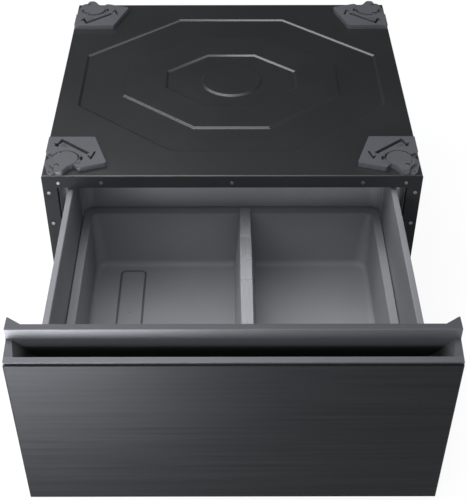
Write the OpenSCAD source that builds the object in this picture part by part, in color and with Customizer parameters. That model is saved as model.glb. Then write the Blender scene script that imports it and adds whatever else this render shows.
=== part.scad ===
// Washer pedestal with one storage drawer, shown with the drawer pulled out.
// X runs across the front, Y runs to the back, Z is up and 0 is the floor.

/* [Cabinet] */
// Width of the cabinet and of the drawer front
cab_w = 686; // [620:1:740]
// Depth of the cabinet without the drawer front
cab_d = 660; // [610:1:740]
// Height of the cabinet's top above the floor
cab_h = 346; // [330:1:400]
// Thickness of the cabinet's sheet steel
sheet = 1.2; // [0.8:0.1:1.6]
// Height of the cabinet's bottom edge above the floor
foot_lift = 28; // [24:1:34]
// Height of the front frame's top rail
rail_h = 25; // [22:1:28]
// Width of the front frame's posts
post_w = 26; // [22:1:30]
// Height of the front frame's sill above the cabinet's bottom edge
sill_h = 32; // [20:1:34]
// Depth of the folds round the frame's opening
frame_fold = 13; // [8:1:13]
// Height of the fold round the top panel
top_fold = 19; // [16:1:20]
// Width of the folds of the side and back panels
panel_fold = 22; // [18:1:24]

/* [Top panel] */
// Depth of the pressed steps
press_depth = 3; // [1.5:0.5:4]
// Width of the slope at each pressed step
press_slope = 4; // [3:0.5:5]
// How far the pressed pattern's centre lies behind the cabinet's middle
press_back = 5; // [0:1:8]
// Radius of the raised round centre
press_round_r = 58.5; // [50:0.5:62]
// Bend radius of the top panel's edge
top_bend = 3; // [2:0.5:4]

/* [Washer foot holders] */
// Height of a holder's pad
holder_h = 9; // [7:0.5:11]
// Width of a holder, from the cabinet's side
holder_w = 115.5; // [110:0.5:122]
// Length of a holder along the cabinet's side
holder_l = 110; // [106:1:118]
// Radius of the raised round seat
seat_r = 23; // [20:0.5:24]
// Height of the round seat above the pad
seat_rise = 1.2; // [1:0.2:2.4]
// Width of the angled slot
holder_slot = 7.5; // [5:0.5:8]

/* [Drawer front] */
// Depth of the drawer front, from its face to its back edges
front_t = 73; // [70:1:78]
// Gap between the closed drawer front and the cabinet
front_gap = 2; // [1.9:0.1:4]
// Height of the front skin's lower edge above the floor
front_bottom = 9; // [6:1:14]
// Drop of the front skin's upper edge below the cabinet's top
skin_drop = 16.6; // [15:0.2:18]
// Thickness of the front skin
skin_t = 1; // [0.8:0.1:1.4]
// Bend radius of the front skin's edges
skin_bend = 3.5; // [2.5:0.5:5]
// Depth of the front skin's side and bottom folds
skin_fold = 20; // [14:1:24]
// Wall of the moulded core and of the handle
mould_wall = 2.6; // [2:0.2:3]

/* [Handle] */
// Rise of the handle's ledge above the cabinet's top
ledge_rise = 15; // [12:0.5:18]
// Width of the ledge, front to back
ledge_w = 12; // [10:0.5:14]
// Width of the finger recess, front to back
recess_w = 31; // [26:1:33]
// Depth of the finger recess below the cabinet's top
recess_drop = 50; // [42:1:56]
// Width of the lip in front of the recess
lip_w = 10; // [8:0.5:11]
// Gap between the front skin and the lip
lip_gap = 5; // [4:0.5:6]
// Width of the rims at the handle's ends
end_rim = 9; // [7:0.5:11]
// Width of the horns at the ends of the ledge
horn_w = 23; // [16:1:28]

/* [Drawer box] */
// Travel of the drawer from closed to open
travel = 380; // [300:5:400]
// Length of the drawer box
box_l = 500; // [480:5:540]
// Drop of the drawer sides' top flange below the cabinet's top
flange_drop = 32; // [30:1:36]
// Width of the drawer sides' top flange
flange_w = 11; // [9:0.5:13]
// Thickness of the drawer's sheet steel
box_sheet = 1; // [0.8:0.1:1.2]
// Corner radius inside the drawer's back corners
box_corner = 22; // [16:1:28]

/* [Tub] */
// Drop of the tub's rim below the cabinet's top
rim_drop = 145; // [135:1:155]
// Height of the tub's floor above the frame's opening
tub_floor_lift = 24; // [20:1:34]
// Width of the rim at the sides
rim_side = 15; // [13:0.5:18]
// Width of the rim at the back and the front
rim_end = 24; // [20:1:28]
// Wall of the tub
tub_wall = 2.5; // [2:0.1:3]
// Corner radius of the tub's floor
tub_corner = 26; // [20:1:32]
// Radius between the tub's walls and floor
tub_fillet = 12; // [8:1:15]
// Height of the ribs under the tub's floor
tub_rib = 11; // [6:1:13]

/* [Divider] */
// Place of the divider's middle, right of the drawer's middle
divider_x = 26; // [0:1:40]
// Width of the divider at its foot
divider_foot = 40; // [38:1:44]
// Width of the divider at its top
divider_top = 19; // [18:1:23]
// Wall of the divider
divider_wall = 2.4; // [1.8:0.2:2.8]

/* [Slides] */
// Length of a slide
slide_l = 500; // [480:5:540]
// Thickness of a closed slide
slide_t = 16; // [16:0.5:18]
// Height of a slide
slide_h = 45; // [44:0.5:48]
// Steel thickness of the slide members
slide_steel = 1.4; // [1.2:0.1:1.5]
// Radius of the balls between the outer and the middle member
ball_outer_r = 2.5; // [2.2:0.1:2.6]
// Radius of the balls between the middle and the inner member
ball_inner_r = 2; // [1.8:0.1:2.2]

/* [Feet and fasteners] */
// Radius of a foot's pad
foot_r = 20; // [16:0.5:24]
// Height of a foot's pad
foot_pad_h = 13; // [10:0.5:13]
// Radius of a foot's stud
stud_r = 5; // [4:0.5:6]
// Distance of a foot's middle from the cabinet's outside
foot_inset = 42; // [38:1:50]
// Shank radius of the sheet steel screws
screw_r = 2; // [1.5:0.1:2.4]
// Head radius of the sheet steel screws
screw_head_r = 3.5; // [3.2:0.1:4.2]
// Head height of the sheet steel screws
screw_head_h = 1.5; // [1.2:0.1:1.6]

/* [Hidden] */
$fn = 48;
eps = 0.01;
// Running clearance round balls and pins
run_gap = 0.3;
// Clearance round a screw or a stud in its hole
hole_gap = 0.15;
// Clearance between a moulded piece and the steel that holds it
seat_gap = 0.5;

// Cabinet
half_w = cab_w/2;
side_face = half_w - sheet;
side_in = side_face - sheet;
back_face = cab_d - sheet;
back_in = back_face - sheet;
open_half = half_w - post_w;
open_top = cab_h - rail_h;
open_bottom = foot_lift + sill_h;
panel_top = cab_h - top_bend - 0.2;
reach = travel + front_gap + front_t;
shift_y = (reach - cab_d)/2;
press_y = cab_d/2 + press_back;

// Slides: s runs from the carrier's face to the drawer side's face
slide_face = open_half - 1.5;
slide_z = (open_bottom + open_top)/2;
slide_y0 = frame_fold + 1;
carrier_top = open_top - 11;
carrier_bottom = slide_z - 60;
half_out = slide_h/2;
outer_flange_in = half_out - slide_steel;
mid_flange_out = outer_flange_in - 2*(ball_outer_r + run_gap);
mid_flange_in = mid_flange_out - slide_steel;
inner_flange_out = mid_flange_in - 2*(ball_inner_r + run_gap);
inner_flange_in = inner_flange_out - slide_steel;
mid_web = slide_steel + 1.8;
cage_t = 0.8;
overlap = slide_l - travel/2;
cage_l = overlap - 30;
cage_pitch = 38;

// Drawer box
box_half = slide_face - slide_t;
box_in = box_half - flange_w;
face_y = -reach;
inner_y = face_y + lip_gap + lip_w + recess_w + ledge_w + sheet;
box_y0 = inner_y;
box_y1 = inner_y + box_l;
flange_z = cab_h - flange_drop;
rim_z = cab_h - rim_drop;
floor_z = open_bottom + tub_floor_lift;
tub_depth = rim_z - floor_z;
base_z = floor_z - tub_wall - tub_rib;
box_bottom = base_z - 2*box_sheet;

// Drawer front, d runs back from the skin's face
skin_top = cab_h - skin_drop;
recess_d = lip_gap + lip_w;
ledge_d = recess_d + recess_w;
ledge_back = ledge_d + ledge_w;
ledge_z = cab_h + ledge_rise;
recess_z = cab_h - recess_drop;
rim_slope = 0.2;
rim_end_z = cab_h - 5.6;
lip_foot = skin_top - 7.5;
recess_half = half_w - end_rim;
recess_slope = 49;
recess_bend = 52;

// Tub
tub_half = box_in - box_sheet - seat_gap;
tub_y0 = box_y0 + seat_gap;
tub_y1 = box_y1 - box_sheet - seat_gap;
tub_in_half = tub_half - rim_side;
tub_in_y0 = tub_y0 + rim_end;
tub_in_y1 = tub_y1 - rim_end;
side_draft = 2.5;
end_draft = 13;
rim_t = 3;
rim_skirt = 12;

// Divider
divider_hook = 4;
divider_lap = 13;
divider_end_gap = 4;

// Feet
foot_x = half_w - foot_inset;
foot_y = [foot_inset, cab_d - foot_inset];
bracket_t = 3;
bracket_z = foot_lift + sheet;
nut_h = 5;
hex_h = 6;
stud_top = bracket_z + bracket_t + 22;

frame_rail_x = [-0.457*cab_w, -0.344*cab_w, 0, 0.344*cab_w, 0.457*cab_w];
post_screw_x = half_w - 10.5;
rail_screw_z = cab_h - 14.5;
post_screw_z = [cab_h - 36, cab_h - 106, foot_lift + 118, foot_lift + 28];

// ---- shared shapes ----

// Everything is drawn from the cabinet's front face and then centred front to back
module placed() translate([0, shift_y, 0]) children();

// Both sides of the object: the left one is drawn and the right one is its mirror image
module on_side(side) {
  if (side < 0) children();
  else mirror([1, 0, 0]) children();
}

// Box from two opposite corners
module span(a, b) translate(a) cube(b - a);

// Rectangle from two opposite corners
module area(a, b) translate(a) square(b - a);

// Rectangle with its two upper corners rounded, its top at 0
module round_top(w, h, r) {
  area([-w/2, -h], [w/2, -r]);
  area([-w/2 + r, -h], [w/2 - r, 0]);
  for (s = [-1, 1]) translate([s*(w/2 - r), -r]) circle(r);
}

// Rectangle with four rounded corners
module round_rect(a, b, r) {
  area([a.x + r, a.y], [b.x - r, b.y]);
  area([a.x, a.y + r], [b.x, b.y - r]);
  for (x = [a.x + r, b.x - r])
    for (y = [a.y + r, b.y - r]) translate([x, y]) circle(r);
}

// Extrudes a shape drawn in Y and Z along X
module along_x(x0, x1) {
  translate([x0, 0, 0]) rotate([90, 0, 90]) linear_extrude(x1 - x0) children();
}

// Extrudes a shape drawn in X and Z along Y
module along_y(y0, y1) {
  translate([0, y1, 0]) rotate([90, 0, 0]) linear_extrude(y1 - y0) children();
}

// Cylinder along Y from y0 to y1
module rod_y(x, z, y0, y1, r) {
  translate([x, y1, z]) rotate([90, 0, 0]) cylinder(h = y1 - y0, r = r);
}

// Cylinder along X from x0 to x1
module rod_x(y, z, x0, x1, r) {
  translate([x0, y, z]) rotate([0, 90, 0]) cylinder(h = x1 - x0, r = r);
}

// Screw with its head on the plane y0, its shank running to the back
module screw_back(x, z, y0, l) {
  rod_y(x, z, y0, y0 + l, screw_r);
  rod_y(x, z, y0 - screw_head_h, y0, screw_head_r);
}

// ---- top panel ----

// Octagon with half sizes a and b, cut corners from [ca, b] to [a, cb], grown by g
function octagon(a, b, ca, cb, g) =
  let (
    n = [b - cb, a - ca]/norm([b - cb, a - ca]),
    c = n*[ca, b] + g,
    x = (c - n.y*(b + g))/n.x,
    y = (c - n.x*(a + g))/n.y)
  [[x, b + g], [-x, b + g], [-a - g, y], [-a - g, -y],
   [-x, -b - g], [x, -b - g], [a + g, -y], [a + g, y]];

// Solid between a lower and an upper outline with as many points
module loft(low, high, z0, z1) {
  n = len(low);
  polyhedron(
    points = concat([for (p = low) [p.x, p.y, z0]], [for (p = high) [p.x, p.y, z1]]),
    faces = concat(
      [[for (i = [0:n - 1]) i]],
      [[for (i = [0:n - 1]) 2*n - 1 - i]],
      [for (i = [0:n - 1]) [(i + 1)%n, i, n + i, n + (i + 1)%n]]));
}

// The three octagons: half width, half depth and where their cut corners start
press_size = [
  [0.4330*cab_w, 0.3803*cab_d, 0.1633*cab_w, 0.1448*cab_d],
  [0.3112*cab_w, 0.2640*cab_d, 0.1045*cab_w, 0.0879*cab_d],
  [0.1866*cab_w, 0.1455*cab_d, 0.0700*cab_w, 0.0470*cab_d]];

function press_outline(i, g) =
  octagon(press_size[i][0], press_size[i][1], press_size[i][2], press_size[i][3], g);

// Block with rounded top edges and the pressed steps in its top
module pressed_block(w, y0, y1, h, r) {
  difference() {
    intersection() {
      along_y(y0, y1) round_top(w, h, r);
      along_x(-w/2, w/2) translate([(y0 + y1)/2, 0]) round_top(y1 - y0, h, r);
    }
    translate([0, press_y, 0]) difference() {
      loft(press_outline(0, 0), press_outline(0, press_slope*1.001), -press_depth, eps);
      difference() {
        loft(press_outline(1, press_slope), press_outline(1, 0), -press_depth - 1, eps);
        difference() {
          loft(press_outline(2, 0), press_outline(2, press_slope), -press_depth, 2*eps);
          translate([0, 0, -press_depth - 1])
            cylinder(h = press_depth + 1 + 3*eps, r1 = press_round_r + press_slope,
              r2 = press_round_r, $fn = 96);
        }
      }
    }
  }
}

module top_panel() {
  color("#333437") placed() difference() {
    translate([0, 0, cab_h]) difference() {
      pressed_block(cab_w, sheet, cab_d, top_fold, top_bend);
      translate([0, 0, -sheet])
        pressed_block(cab_w - 2*sheet, 2*sheet, cab_d - sheet, top_fold, top_bend - sheet);
    }
    for (x = frame_rail_x) rod_y(x, rail_screw_z, 0, 3*sheet, screw_r + hole_gap);
    for (x = holder_screw_xy(), s = [-1, 1], e = [0, 1])
      translate([s*(half_w - x.x), e == 0 ? x.y : cab_d - x.y, cab_h - 2*sheet - top_bend])
        cylinder(h = 3*sheet + top_bend, r = screw_r + hole_gap);
  }
}

// ---- cabinet shell ----

// Side panel with its front, back and bottom folds
module side_panel() {
  fold_top = cab_h - top_fold - 1;
  difference() {
    union() {
      span([-side_face, sheet, foot_lift], [-side_in, back_in, fold_top]);
      // notched at its upper front corner for the top panel's front fold
      span([-side_face, 2*sheet + 0.3, foot_lift], [-side_in, back_in, panel_top]);
      span([-side_face, sheet, foot_lift], [-side_in + panel_fold, 2*sheet, fold_top]);
      span([-side_face, back_in - sheet, foot_lift], [-side_in + panel_fold, back_in, panel_top]);
      span([-side_face, sheet, foot_lift], [-side_in + panel_fold, back_in, foot_lift + sheet]);
    }
    for (z = post_screw_z) rod_y(-post_screw_x, z, 0, 3*sheet, screw_r + hole_gap);
    for (z = back_screw_z) rod_y(-back_screw_x, z, back_in - 2*sheet, back_in + eps, screw_r + hole_gap);
  }
}

module left_side_panel() color("#2b2c2e") placed() on_side(-1) side_panel();

module right_side_panel() color("#2b2c2e") placed() on_side(1) side_panel();

back_screw_x = half_w - 14;
back_screw_z = [foot_lift + 30, (foot_lift + cab_h)/2, cab_h - 40];

// Back panel with a pressed field and a bottom fold
module back_panel() {
  field = [cab_w/2 - 70, (cab_h - foot_lift)/2 - 60];
  color("#2b2c2e") placed() difference() {
    union() {
      span([-side_face, back_in, foot_lift], [side_face, back_face, panel_top]);
      span([-side_in + panel_fold + 1, back_in - panel_fold, foot_lift],
        [side_in - panel_fold - 1, back_face, foot_lift + sheet]);
      translate([0, 0, (cab_h + foot_lift)/2]) along_y(back_in - 4, back_in)
        round_rect(-field, field, 20);
    }
    translate([0, 0, (cab_h + foot_lift)/2]) along_y(back_in - 4 + sheet, back_face + 1)
      round_rect(-field + [sheet, sheet], field - [sheet, sheet], 20 - sheet);
    for (s = [-1, 1], z = back_screw_z)
      rod_y(s*back_screw_x, z, back_in - 1, back_face + 1, screw_r + hole_gap);
  }
}

// Rail, posts and sill in one pressed frame, folded back round its opening
module front_frame() {
  color("#26272a") placed() difference() {
    union() {
      span([-half_w, 0, foot_lift - 2], [half_w, sheet, cab_h - 1.5]);
      span([-open_half - sheet, 0, open_bottom - sheet], [open_half + sheet, frame_fold, open_top + sheet]);
      span([-side_in + panel_fold + 1, 0, foot_lift],
        [side_in - panel_fold - 1, panel_fold, foot_lift + sheet]);
    }
    span([-open_half, -1, open_bottom], [open_half, frame_fold + 1, open_top]);
    for (x = frame_rail_x) rod_y(x, rail_screw_z, -1, 2*sheet, screw_r + hole_gap);
    for (s = [-1, 1], z = post_screw_z)
      rod_y(s*post_screw_x, z, -1, 2*sheet, screw_r + hole_gap);
  }
}

// Hat-shaped brace under the pressed top, from side to side
module top_brace(y) {
  t = 1.5;
  h = 16;
  top = cab_h - press_depth - sheet;
  crown = 26;
  foot = 16;
  along_x(-side_in, side_in) translate([y, top]) {
    area([-crown - foot, -t], [-crown, 0]);
    area([crown, -t], [crown + foot, 0]);
    for (s = [-1, 1]) area([min(s*crown, s*(crown - t)), -h], [max(s*crown, s*(crown - t)), 0]);
    area([-crown, -h], [crown, -h + t]);
  }
}

module front_top_brace() color("#6e7075") placed() top_brace(press_y - 0.3*cab_d);

module rear_top_brace() color("#6e7075") placed() top_brace(press_y + 0.3*cab_d);

// ---- slide carriers and slides ----

// Channel that stands on the side panel and carries the slide
module slide_carrier() {
  t = 1.5;
  lip = 10;
  difference() {
    along_y(slide_y0, back_in - panel_fold) union() {
      area([-slide_face - t, carrier_bottom], [-slide_face, carrier_top]);
      area([-side_in, carrier_top - t], [-slide_face, carrier_top]);
      area([-side_in, carrier_bottom], [-slide_face, carrier_bottom + t]);
      area([-side_in, carrier_top - t], [-side_in + t, carrier_top + lip]);
      area([-side_in, carrier_bottom - lip], [-side_in + t, carrier_bottom + t]);
    }
    for (y = slide_screw_y()) rod_x(y, slide_z, -slide_face - t - 1, -slide_face + 1, screw_r + hole_gap);
  }
}

module left_slide_carrier() color("#7b7d80") placed() on_side(-1) slide_carrier();

module right_slide_carrier() color("#7b7d80") placed() on_side(1) slide_carrier();

function slide_screw_y() = [for (k = [0.08, 0.5, 0.92]) slide_y0 + k*slide_l];

// Both halves of a slide section, drawn for the upper one
module both_halves() {
  children();
  mirror([0, 1, 0]) children();
}

// Section of a slide member: s runs across from the carrier
module slide_section() translate([-slide_face, slide_z]) both_halves() children();

// Fixed member, with lips that keep the balls in
module slide_outer() {
  lip = slide_steel + 2*ball_outer_r + 4;
  difference() {
    along_y(slide_y0, slide_y0 + slide_l) slide_section() {
      area([0, 0], [slide_steel, half_out]);
      area([0, outer_flange_in], [lip, half_out]);
      area([lip - 1.2, outer_flange_in - 3.5], [lip, half_out]);
    }
    for (y = slide_screw_y()) {
      rod_x(y, slide_z, -slide_face - 1, -slide_face + 2, screw_r + hole_gap);
      translate([-slide_face + 0.2, y, slide_z]) rotate([0, 90, 0])
        cylinder(h = slide_steel, r1 = screw_r + 0.1, r2 = screw_r + 1.5);
    }
  }
}

module left_slide_outer() color("#9a9da0") placed() on_side(-1) slide_outer();

module right_slide_outer() color("#9a9da0") placed() on_side(1) slide_outer();

// Middle member, half way between the cabinet and the drawer
module slide_middle() {
  end = slide_t - 2.8;
  y0 = slide_y0 - travel/2;
  along_y(y0, y0 + slide_l) slide_section() {
    area([mid_web, 0], [mid_web + slide_steel, mid_flange_out]);
    area([mid_web, mid_flange_in], [end, mid_flange_out]);
    area([end - 1, mid_flange_in - 2.2], [end, mid_flange_out]);
  }
}

module left_slide_middle() color("#b2b4b6") placed() on_side(-1) slide_middle();

module right_slide_middle() color("#b2b4b6") placed() on_side(1) slide_middle();

// Moving member on the drawer side
module slide_inner() {
  start = mid_web + slide_steel + 2.2;
  y0 = slide_y0 - travel;
  difference() {
    along_y(y0, y0 + slide_l) slide_section() {
      area([slide_t - slide_steel, 0], [slide_t, inner_flange_out]);
      area([start, inner_flange_in], [slide_t, inner_flange_out]);
    }
    for (y = slide_screw_y())
      rod_x(y - travel, slide_z, -slide_face + slide_t - 2, -box_half + 1, screw_r + hole_gap);
  }
}

module left_slide_inner() color("#9a9da0") placed() on_side(-1) slide_inner();

module right_slide_inner() color("#9a9da0") placed() on_side(1) slide_inner();

// Bent strip that holds two rows of balls: web at s0, rows at height h, balls at sb
module ball_cage(y0, s0, h, sb, r) {
  n = floor((cage_l - 20)/cage_pitch);
  difference() {
    along_y(y0, y0 + cage_l) slide_section() {
      area([s0, 0], [s0 + cage_t, h + cage_t/2]);
      area([s0, h - cage_t/2], [sb + r - 0.1, h + cage_t/2]);
    }
    for (i = [0:n], s = [-1, 1])
      translate([-slide_face + sb, y0 + 10 + i*cage_pitch, slide_z + s*h])
        cylinder(h = 3, r = r + 0.1, center = true);
  }
  for (i = [0:n], s = [-1, 1])
    translate([-slide_face + sb, y0 + 10 + i*cage_pitch, slide_z + s*h]) sphere(r, $fn = 24);
}

module outer_ball_cage() {
  ball_cage(slide_y0 + 16, slide_steel + 0.5, (outer_flange_in + mid_flange_out)/2,
    slide_steel + 2*ball_outer_r, ball_outer_r);
}

module inner_ball_cage() {
  ball_cage(slide_y0 - travel/2 + 16, mid_web + slide_steel + 0.6,
    (mid_flange_in + inner_flange_out)/2, mid_web + slide_steel + ball_inner_r + 2.8,
    ball_inner_r);
}

module left_outer_ball_cage() color("#c8cacc") placed() on_side(-1) outer_ball_cage();

module right_outer_ball_cage() color("#c8cacc") placed() on_side(1) outer_ball_cage();

module left_inner_ball_cage() color("#c8cacc") placed() on_side(-1) inner_ball_cage();

module right_inner_ball_cage() color("#c8cacc") placed() on_side(1) inner_ball_cage();

// Countersunk screws of the fixed slide members
module slide_screws_cabinet() {
  color("#b9bbbd") placed() for (side = [-1, 1]) on_side(side)
    for (y = slide_screw_y()) {
      rod_x(y, slide_z, -slide_face - 8, -slide_face + slide_steel - 0.1, screw_r);
      translate([-slide_face + 0.3, y, slide_z]) rotate([0, 90, 0])
        cylinder(h = slide_steel - 0.4, r1 = screw_r, r2 = screw_r + 1.1);
    }
}

// Screws of the moving slide members
module slide_screws_drawer() {
  head = -slide_face + slide_t - slide_steel;
  color("#b9bbbd") placed() for (side = [-1, 1]) on_side(side)
    for (y = slide_screw_y()) {
      rod_x(y - travel, slide_z, head, -box_half + 7, screw_r);
      rod_x(y - travel, slide_z, head - screw_head_h, head, screw_head_r - 0.5);
    }
}

// ---- washer foot holders ----

// Screws of a holder, measured from the cabinet's side and front
function holder_screw_xy() = [
  [26.5, holder_l - 53 + 4],
  [26.5, 22]];

// Centre of the round seat
seat_c = [39.5, 42];

// Points of the arc with radius r that rounds the corner b between a and c
function corner_arc(a, b, c, r) =
  let (
    u = (a - b)/norm(a - b),
    v = (c - b)/norm(c - b),
    half = acos(u*v)/2,
    mid = b + (u + v)/norm(u + v)*r/sin(half),
    p = b + u*r/tan(half) - mid,
    q = b + v*r/tan(half) - mid,
    turn = (atan2(q.y, q.x) - atan2(p.y, p.x) + 540) % 360 - 180)
  r == 0 ? [b] : [for (k = [0:5]) mid + r*[cos(atan2(p.y, p.x) + turn*k/5), sin(atan2(p.y, p.x) + turn*k/5)]];

// Outline with rounded corners from points [u, v, radius]
function rounded(list) =
  let (
    n = len(list),
    xy = [for (p = list) [p[0], p[1]]])
  [for (i = [0:n - 1]) each corner_arc(xy[(i + n - 1)%n], xy[i], xy[(i + 1)%n], list[i][2])];

// Outline of the pad, u from the cabinet's side and v from its front. It has a notch
// at the front and a tongue that carries the round seat.
function pad_outline() =
  let (w = holder_w, l = holder_l)
  rounded([[2, 64, 1], [2, l + 4, 1.5], [w - 28, l + 4, 3], [w, 31, 5], [w - 50, 14.3, 6], [54.4, 29.3, 3],
    [38, 2.6, 6], [25, 2.6, 5], [21, 17, 3], [11.6, 28, 4], [11.6, 40.5, 3], [21.5, 50, 2], [10, 62, 2]]);

// Low plate at the cabinet's corner, with a notch in its side
function plate_outline() =
  rounded([[2, 64, 1], [9.5, 55, 1], [6.5, 49, 1], [2, 45, 1], [2, 35, 1], [5, 25, 6], [10, 7, 4], [17, 1.2, 3],
    [24, 6, 1], [40, 20, 0], [40, 64, 0]]);

// Angled slot, hooked at its back end
module long_slot(a, b, c) {
  stroke(a, b, holder_slot);
  stroke(a + [1, -1], c, holder_slot*0.8);
  polygon([c + [-6, 8], c + [3, -7], c + [5, 4]]);
}

// Moulded holder with its angled slot, round seat, pockets and ridges
module holder() {
  low = 3;
  waist = holder_h*0.45;
  l = holder_l;
  difference() {
    union() {
      linear_extrude(low) polygon(plate_outline());
      linear_extrude(waist) offset(delta = -1) polygon(pad_outline());
      translate([0, 0, waist]) linear_extrude(holder_h - waist) polygon(pad_outline());
      linear_extrude(1.2) polygon(pad_outline());
      translate([seat_c.x, seat_c.y, 0]) cylinder(h = holder_h + seat_rise, r = seat_r);
      linear_extrude(holder_h + seat_rise) polygon(rounded([[37, 4, 5], [seat_c.x + 12, seat_c.y - 16, 0],
        [seat_c.x, seat_c.y, 0], [seat_c.x - 20, seat_c.y - 8, 0], [21.5, 18, 3], [26, 4, 5]]));
      // ridges beside the seat and behind it
      linear_extrude(holder_h + 1) {
        difference() {
          translate(seat_c) circle(seat_r + 7);
          translate(seat_c) circle(seat_r + 4.6);
          area([-50, -50], [seat_c.x + 12, 200]);
          area([-50, -50], [200, 26]);
          area([-50, 60], [200, 200]);
        }
        stroke([28, l - 27], [30, l - 20], 1.6);
        stroke([31.5, l - 26], [33, l - 21], 1.6);
        difference() {
          translate([36.5, l - 27]) circle(3.4);
          translate([36.5, l - 27]) circle(2);
        }
      }
    }
    // groove round the back of the seat
    translate([seat_c.x, seat_c.y, low]) difference() {
      cylinder(h = holder_h + 2, r = seat_r + 3.4);
      translate([0, 0, -1]) cylinder(h = holder_h + 4, r = seat_r);
      translate([-60, -120, -1]) cube([120, 120 - 2, holder_h + 4]);
    }
    translate([0, 0, -1]) linear_extrude(holder_h + 7)
      long_slot([28, l - 8], [77, l - 48], [19, l - 24]);
    // hooked slot beside it
    translate([0, 0, 1.2]) linear_extrude(holder_h + 5) {
      stroke([92, l - 46], [86, l - 66], 4.5);
      stroke([86, l - 66], [81, l - 58], 3);
    }
    // pocket beside the seat
    translate([0, 0, 1.2]) linear_extrude(holder_h + 5) area([66.5, 38], [71.5, 49]);
    translate([14.5, 10.5, 1.2]) cylinder(h = holder_h, r = 1.8);
    for (p = holder_screw_xy()) translate([p.x, p.y, -1]) {
      cylinder(h = holder_h + 6, r = screw_r + hole_gap);
      translate([0, 0, 1 + holder_h - 1.5]) cylinder(h = 12, r = screw_head_r + 0.6);
    }
  }
}

// Bar with square ends from p to q, w wide
module stroke(p, q, w) {
  v = (q - p)/norm(q - p);
  n = [-v.y, v.x]*w/2;
  polygon([p - v*w/2 + n, p - v*w/2 - n, q + v*w/2 - n, q + v*w/2 + n]);
}

// A holder in each corner: s is -1 at the left, e is 1 at the back
module holder_at(s, e) {
  color("#8b8c90") placed() translate([0, e == 1 ? cab_d : 0, cab_h])
    mirror([0, e, 0]) on_side(s) translate([-half_w, 0, 0]) holder();
}

module holder_front_left() holder_at(-1, 0);

module holder_front_right() holder_at(1, 0);

module holder_rear_left() holder_at(-1, 1);

module holder_rear_right() holder_at(1, 1);

// Two screws to a holder, through the top panel
module holder_screws() {
  color("#cfd0d2") placed() for (s = [-1, 1], e = [0, 1], p = holder_screw_xy())
    translate([s*(half_w - p.x), e == 0 ? p.y : cab_d - p.y, cab_h + holder_h - 1.5]) {
      translate([0, 0, -holder_h - 4]) cylinder(h = holder_h + 4, r = screw_r);
      cylinder(h = 2.4, r = screw_head_r - 0.6);
    }
}

// ---- fasteners of the shell ----

module frame_screws() {
  color("#b9bbbd") placed() {
    for (x = frame_rail_x) screw_back(x, rail_screw_z, 0, 9);
    for (s = [-1, 1], z = post_screw_z) screw_back(s*post_screw_x, z, 0, 9);
  }
}

module back_screws() {
  color("#55575a") placed() for (s = [-1, 1], z = back_screw_z) {
    rod_y(s*back_screw_x, z, back_face - 9, back_face, screw_r);
    rod_y(s*back_screw_x, z, back_face, cab_d, screw_head_r);
  }
}

// ---- feet ----

// Plate on the cabinet's bottom folds with a threaded boss and a tab up the side panel
module leg_bracket() {
  plate = 2*(foot_inset - sheet) - 14;
  y0 = 3*sheet + 0.2;
  difference() {
    union() {
      span([-side_in, y0, bracket_z], [-side_in + plate, y0 + plate, bracket_z + bracket_t]);
      span([-side_in, frame_fold + 2, bracket_z], [-side_in + bracket_t, y0 + plate, bracket_z + 28]);
      translate([-foot_x, foot_inset, bracket_z]) cylinder(h = bracket_t + 9, r = stud_r + 4);
    }
    translate([-foot_x, foot_inset, bracket_z - 1]) cylinder(h = 40, r = stud_r + hole_gap);
  }
}

// One piece in each corner: s is -1 at the left, e is 1 at the back
module in_corner(s, e) placed() translate([0, e == 1 ? cab_d : 0, 0]) mirror([0, e, 0]) on_side(s) children();

module leg_bracket_front_left() color("#8d9094") in_corner(-1, 0) leg_bracket();

module leg_bracket_front_right() color("#8d9094") in_corner(1, 0) leg_bracket();

module leg_bracket_rear_left() color("#8d9094") in_corner(-1, 1) leg_bracket();

module leg_bracket_rear_right() color("#8d9094") in_corner(1, 1) leg_bracket();

// Hexagon nuts under the brackets
module foot_lock_nuts() {
  color("#a5a7aa") for (s = [-1, 1], e = [0, 1]) in_corner(s, e)
    translate([-foot_x, foot_inset, bracket_z - nut_h]) difference() {
      cylinder(h = nut_h, r = stud_r*1.85, $fn = 6);
      translate([0, 0, -1]) cylinder(h = nut_h + 2, r = stud_r + hole_gap);
    }
}

// Threaded stud with the hexagon that turns it
module foot_stud() {
  translate([-foot_x, foot_inset, 0]) {
    translate([0, 0, foot_pad_h - 5]) cylinder(h = stud_top - foot_pad_h + 5, r = stud_r);
    translate([0, 0, foot_pad_h]) cylinder(h = hex_h, r = stud_r*1.7, $fn = 6);
  }
}

// Pad with a coned top, moulded round the stud's end
module foot_pad() {
  translate([-foot_x, foot_inset, 0]) difference() {
    union() {
      cylinder(h = 1.5, r1 = foot_r - 1, r2 = foot_r);
      translate([0, 0, 1.5]) cylinder(h = 4, r = foot_r);
      translate([0, 0, 5.5]) cylinder(h = foot_pad_h - 5.5, r1 = foot_r, r2 = stud_r*1.8);
    }
    translate([0, 0, foot_pad_h - 5]) cylinder(h = 6, r = stud_r);
  }
}

module foot_stud_front_left() color("#a5a7aa") in_corner(-1, 0) foot_stud();

module foot_stud_front_right() color("#a5a7aa") in_corner(1, 0) foot_stud();

module foot_stud_rear_left() color("#a5a7aa") in_corner(-1, 1) foot_stud();

module foot_stud_rear_right() color("#a5a7aa") in_corner(1, 1) foot_stud();

module foot_pad_front_left() color("#222224") in_corner(-1, 0) foot_pad();

module foot_pad_front_right() color("#222224") in_corner(1, 0) foot_pad();

module foot_pad_rear_left() color("#222224") in_corner(-1, 1) foot_pad();

module foot_pad_rear_right() color("#222224") in_corner(1, 1) foot_pad();

// ---- drawer box ----

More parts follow.
